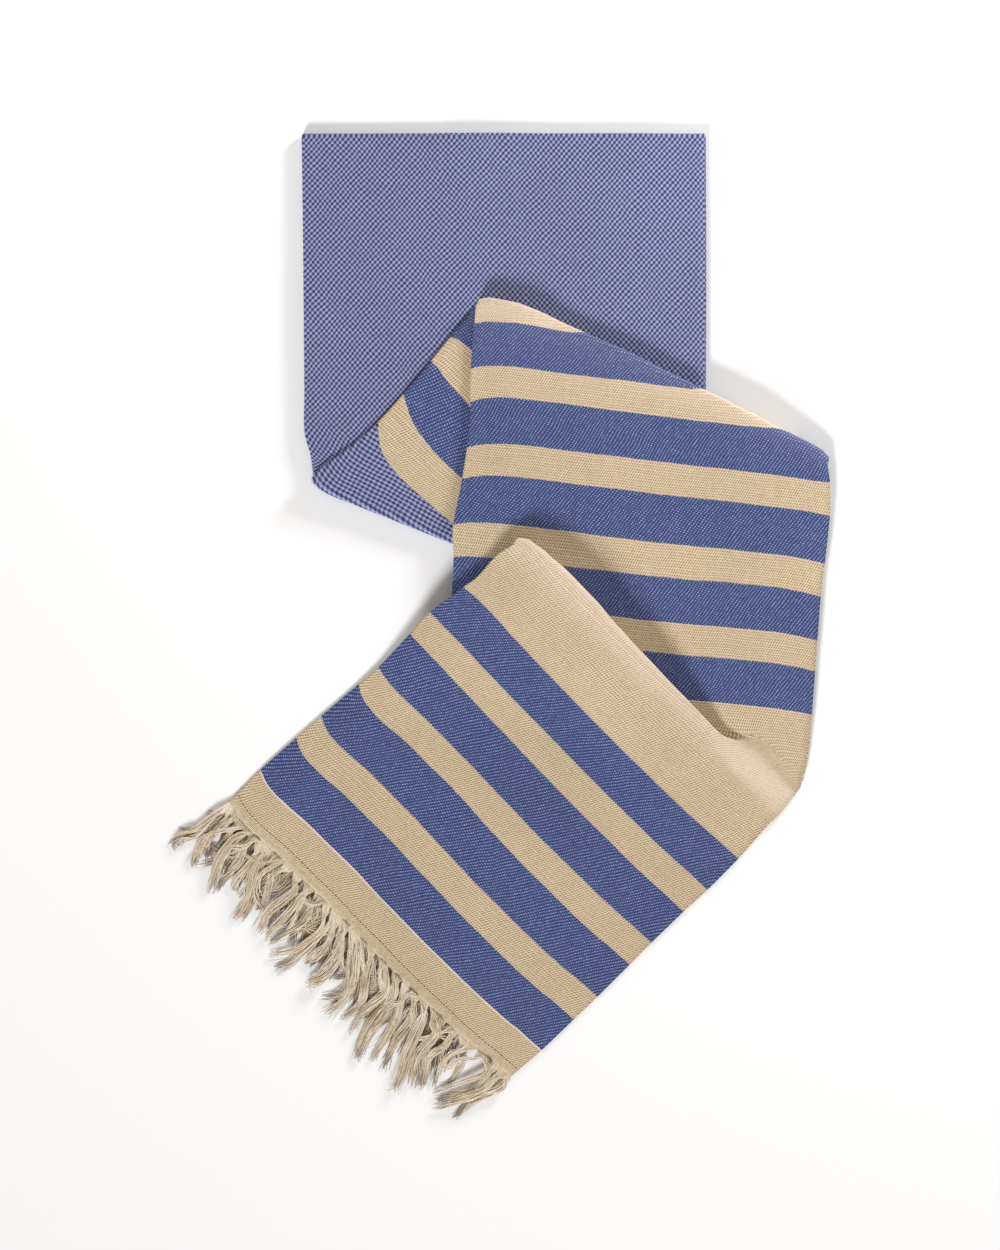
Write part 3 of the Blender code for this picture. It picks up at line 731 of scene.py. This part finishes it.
# Painted highlight with wear: the lines of the upper two folds are paled and brightened
colour = (worn_and_lit * (1.0 - blue * 0.8) * 0.24).blend(colour, WORN_AND_LIT)
shade = slub * 0.18 + weft * 0.16 + cloudy * 0.16 + side * 0.06 + worn_and_lit * 0.09 + 0.75
colour = wire.add("ShaderNodeVectorMath", {"operation": "SCALE"}, {0: colour, "Scale": shade})
colour.drive(shader.inputs["Base Color"])

threads_up = field * knots * 0.6 + (1.0 - field) * (blue * points + (1.0 - blue) * dashes * 0.5)
height = threads_up * (1.0 - loose) + warp * loose + slub * 0.6 + weft * 0.4
height.bump(0.5, THREAD_DEPTH).drive(shader.inputs["Normal"])
(slub * 0.12 + 0.8).drive(shader.inputs["Roughness"])

towel = mesh_piece(shape, "towel", material)
thickness = towel.modifiers.new("Thickness", "SOLIDIFY")
thickness.thickness = SHEET * MM
thickness.offset = 0.0
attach(towel, "root")
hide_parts("cloth")


# ---------------------------------------------------------------- fringe
# The warp threads run on past the hem as soft cream locks of fine yarn. The long locks of the top
# sheet are laid one by one as in the photo, and the shorter ones of the sheets below at random.

HEM = RUNS[4].rungs[-1]
HEM_OUT = Vector((-0.702, -0.712))
HEM_LENGTH = 327.5
YARN = 0.36               # half a thread's width
TOP_ROOT, CROSSING_ROOT = 3.4, 3.6        # heights at which the top sheet's locks leave the hem
THICK_LOCK = 4.0          # half the width from which a lock stays thick to its tip
DENSITY = 8.0             # threads in a listed lock for each millimetre of half its width
# Shares of a lock's way: where it is gathered, where it is widest, and from where it tapers and
# its threads do
GATHERED, WIDEST, TAPER_FROM, THIN_FROM = 0.24, 0.65, 0.6, 0.72
# A lock's share of the hem, then x, y of two points on its way and of its tip, and half its width
LOCKS = (
    (0.004, -250, -168, -263, -173, -273, -184, 5),
    (0.023, -237, -168, -251, -186, -257, -201, 3.6),
    (0.036, -230, -164, -243, -179, -250, -190, 3),
    (0.052, -226, -178, -233, -191, -255, -202, 2.8),
    (0.09, -219, -176, -234, -194, -242, -220, 4.5),
    (0.11, -217, -188, -227, -206, -235, -223, 3.8),
    (0.13, -212, -199, -219, -213, -224, -220, 3.2),
    (0.147, -204, -202, -212, -228, -223, -245, 3.8),
    (0.168, -200, -202, -209, -228, -214, -246, 3.4),
    (0.196, -201, -209, -204, -225, -194, -240, 3),
    (0.225, -190, -209, -198, -228, -204, -237, 3),
    (0.256, -177, -223, -193, -240, -204, -255, 3.6),
    (0.299, -172, -231, -188, -251, -196, -262, 3.4),
    (0.335, -161, -240, -178, -254, -193, -266, 3),
    (0.359, -152, -254, -171, -268, -196, -272, 2.6),
    (0.389, -151, -260, -171, -274, -192, -284, 3.4),
    (0.402, -144, -261, -156, -276, -164, -281, 3),
    (0.427, -135, -268, -148, -289, -160, -300, 5.5),
    (0.453, -124, -280, -131, -302, -153, -311, 3.2),
    (0.47, -120, -285, -129, -306, -149, -325, 4),
    (0.489, -115, -280, -124, -299, -141, -314, 3),
    (0.52, -110, -287, -116, -310, -137, -329, 3.4),
    (0.567, -97, -301, -113, -320, -127, -341, 3.4),
    (0.613, -94, -312, -109, -334, -120, -359, 6),
    (0.647, -86, -321, -97, -344, -110, -364, 3.4),
    (0.68, -77, -327, -90, -352, -100, -371, 3.6),
    (0.708, -66, -332, -80, -361, -90, -385, 4.8),
    (0.743, -56, -339, -70, -361, -78, -385, 3.8),
    (0.772, -57, -344, -66, -363, -71, -385, 3.4),
    (0.812, -47, -350, -60, -359, -66, -390, 3),
    (0.842, -32, -359, -39, -373, -46, -386, 2.2),
    (0.871, -39, -355, -50, -364, -57, -384, 2.4),
    (0.912, -12, -368, -29, -378, -62, -390, 2.6),
    (0.952, -16, -380, -36, -389, -57, -396, 3.4),
    (0.977, -11, -383, -32, -392, -59, -403, 3.4),
    (0.992, -4, -384, -24, -395, -42, -409, 4))
# The locks of the sheets below it, as how many and their height at the hem, then how many loose
# threads lie between them, and how many locks of the top sheet lie across the others
LOWER_LOCKS, LOOSE_THREADS, CROSSING_LOCKS = ((33, 0.6), (35, 1.95)), 230, 13

random.seed(14)


def yarn(curve, points):
    """One thread of the fringe through points of x, y, height and thickness."""
    line = curve.splines.new("POLY")
    line.points.add(len(points) - 1)
    for point, (x, y, height, thin) in zip(line.points, points):
        point.co = (*((Vector((x, y, max(height, YARN * thin + 0.05))) + ON_FLOOR) * MM), 1.0)
        point.radius = thin


def stray_way(start, lean, bend, step, count):
    """Points in plan from a start: the way leans off square to the hem, and then bends."""
    heading = math.atan2(HEM_OUT.y, HEM_OUT.x) + math.radians(lean)
    points = [start]
    for _ in range(count):
        points.append(points[-1] + Vector((math.cos(heading), math.sin(heading))) * step)
        heading += math.radians(bend)
    return points


def lay_lock(curve, share, way, half_width, threads, root_height, pile, over_hem, steps):
    """A lock of loose threads along a way of four points in plan, gathered past the hem.

    It leaves the hem at root_height, and pile is how much it then rises. Its threads start on top
    of the cloth if over_hem is true.
    """
    thick = half_width > THICK_LOCK
    twist, first_turn = random.uniform(-2.6, 2.6), random.uniform(0.0, 6.3)
    wobble, phase = random.uniform(0.7, 2.1), random.uniform(0.0, 6.3)
    blunt = 0.85 if thick else random.uniform(0.25, 0.6)
    half_root = random.uniform(4.2, 5.4) * (1.2 if thick else 1.0) / HEM_LENGTH
    for thread in range(threads):
        place_in = 2.0 * (thread + random.uniform(0.2, 0.8)) / threads - 1.0
        own_share = max(0.003, min(0.997, share + place_in * half_root))
        root = on_rung(HEM, own_share).to_2d()
        turn = first_turn + math.pi * place_in * 1.3 + random.uniform(-0.5, 0.5)
        ring = random.uniform(0.3, 1.0)
        reach = 3.0 * random.uniform(0.86, 1.03) - (0.0 if thick else 0.25 * ring)
        own_wave, own_phase = random.uniform(0.2, 0.9), random.uniform(0.0, 6.3)
        stray = random.gauss(0.0, 1.4)
        if random.random() < 0.05:
            stray += random.choice((-6.0, 5.0))
        points = []
        if over_hem:
            spot = root - HEM_OUT * 1.5
            points.append((*spot, banded_end_height(spot, own_share) + STRIP_HEIGHT - 0.6, 0.8))
        for step in range(steps):
            t = step / (steps - 1)
            gather = smooth(t / GATHERED)
            along = spline(way, min(3.0, t * reach + 0.05))
            along -= spline(way, max(0.0, t * reach - 0.05))
            side = Vector((-along.y, along.x)).normalized()
            angle = turn + twist * t
            spread = half_width * (0.62 + 0.5 * smooth(t / WIDEST))
            spread *= mix(1.0, blunt, smooth_from(TAPER_FROM, t))
            shift = math.cos(angle) * ring * spread * gather + stray * t ** 3
            shift += wobble * math.sin(phase + 7.0 * t) * gather
            shift += own_wave * math.sin(own_phase + 11.0 * t) * gather
            spot = spline(way, t * reach) + (root - way[0]) * (1.0 - gather) + side * shift
            lift = mix(root_height, YARN + 0.1, smooth(t / 0.5))
            lift += pile * math.sin(math.pi * t ** 0.8)
            lift += (math.sin(angle) + 1.0) * 0.42 * ring * spread * gather * (1.0 - 0.35 * t)
            lift += 0.35 * pile * t
            points.append((spot.x, spot.y, lift, 1.0 - 0.6 * smooth_from(THIN_FROM, t)))
        yarn(curve, points)


curve = bpy.data.curves.new("fringe", "CURVE")
curve.dimensions = "3D"
curve.bevel_depth = YARN * MM
curve.bevel_resolution = 0
curve.use_fill_caps = True
for locks, root_height in LOWER_LOCKS:
    for lock in range(locks):
        share = 0.01 + 0.82 * (lock + random.uniform(0.25, 0.75)) / locks
        lean, bend = random.gauss(8.0, 16.0), random.gauss(2.0, 19.0)
        way = stray_way(on_rung(HEM, share).to_2d(), lean, bend, random.uniform(13.0, 18.0), 3)
        lay_lock(curve, share, way, random.uniform(2.4, 3.8), 14, root_height,
                 random.uniform(0.3, 1.4), over_hem=False, steps=7)
for thread in range(LOOSE_THREADS):
    share = 0.01 + 0.83 * (thread + random.random()) / LOOSE_THREADS
    start = on_rung(HEM, share).to_2d() - HEM_OUT * 2.0
    lean, bend = random.gauss(6.0, 17.0), random.gauss(0.0, 12.0)
    way = stray_way(start, lean, bend, random.uniform(5.5, 9.0), 4)
    yarn(curve, [(*spot, mix(random.choice((0.6, 2.0)), 0.6, part / 4), 1.7 - 0.2 * part)
                 for part, spot in enumerate(way)])
for index, (share, *way, half_width) in enumerate(LOCKS):
    way = [on_rung(HEM, share).to_2d()] + [Vector(way[place:place + 2]) for place in (0, 2, 4)]
    pile = 1.6 + 1.5 * (index * 7 % 5) / 2.0
    lay_lock(curve, share, way, half_width, int(DENSITY * half_width), TOP_ROOT, pile,
             over_hem=True, steps=12)
for lock in range(CROSSING_LOCKS):
    share = 0.03 + 0.9 * (lock + random.uniform(0.2, 0.8)) / CROSSING_LOCKS
    lean, bend = random.choice((-26.0, 34.0)), random.gauss(0.0, 24.0)
    way = stray_way(on_rung(HEM, share).to_2d(), lean, bend, random.uniform(11.0, 17.0), 3)
    lay_lock(curve, share, way, random.uniform(1.4, 2.3), 12, CROSSING_ROOT,
             random.uniform(4.0, 6.0), over_hem=True, steps=10)

# The first is a painted shade, for the threads that lie low over the floor
CREAM_PAINTED_SHADE, CREAM_DEEP = linear(98, 74, 42), linear(186, 160, 122)
CREAM, CREAM_HIGH = linear(222, 207, 183), linear(245, 234, 221)
SHADED, LIT = 0.0002, 0.0042      # heights over the floor in metres, between which the painted shade of the low threads gives way to their own cream
FIBRE_DEPTH = 0.0003
material, tree, shader = new_shader("loose_yarn", 0.9)
shader.inputs["Sheen Weight"].default_value = 0.2
wire = Wire(tree)
own = wire.add("ShaderNodeNewGeometry").out("Random Per Island")
spot = wire.add("ShaderNodeTexCoord").out("Object")
fibre, patch = wire.grain(spot, 900.0, 2.0), wire.grain(spot, 75.0, 1.0)
colour = (own * 0.5 + fibre * 0.4 + patch * 0.7 - 0.35).ramp(
    (0.0, CREAM_DEEP), (0.5, CREAM), (1.0, CREAM_HIGH))
# Painted shade: the threads darken towards the floor, as if shaded by the locks above them
colour = spot.split("Z").ease(SHADED, LIT).blend(CREAM_PAINTED_SHADE, colour)
colour.drive(shader.inputs["Base Color"])
fibre.bump(0.4, FIBRE_DEPTH).drive(shader.inputs["Normal"])

source = bpy.data.objects.new("fringe_curves", curve)
bpy.context.scene.collection.objects.link(source)
bpy.context.view_layer.update()
built = source.evaluated_get(bpy.context.evaluated_depsgraph_get())
mesh = bpy.data.meshes.new_from_object(built)
bpy.data.objects.remove(source)
mesh.materials.clear()
mesh.materials.append(material)
mesh.shade_smooth()
fringe = bpy.data.objects.new("yarn_fringe", mesh)
bpy.context.scene.collection.objects.link(fringe)
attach(fringe, "root")
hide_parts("fringe")
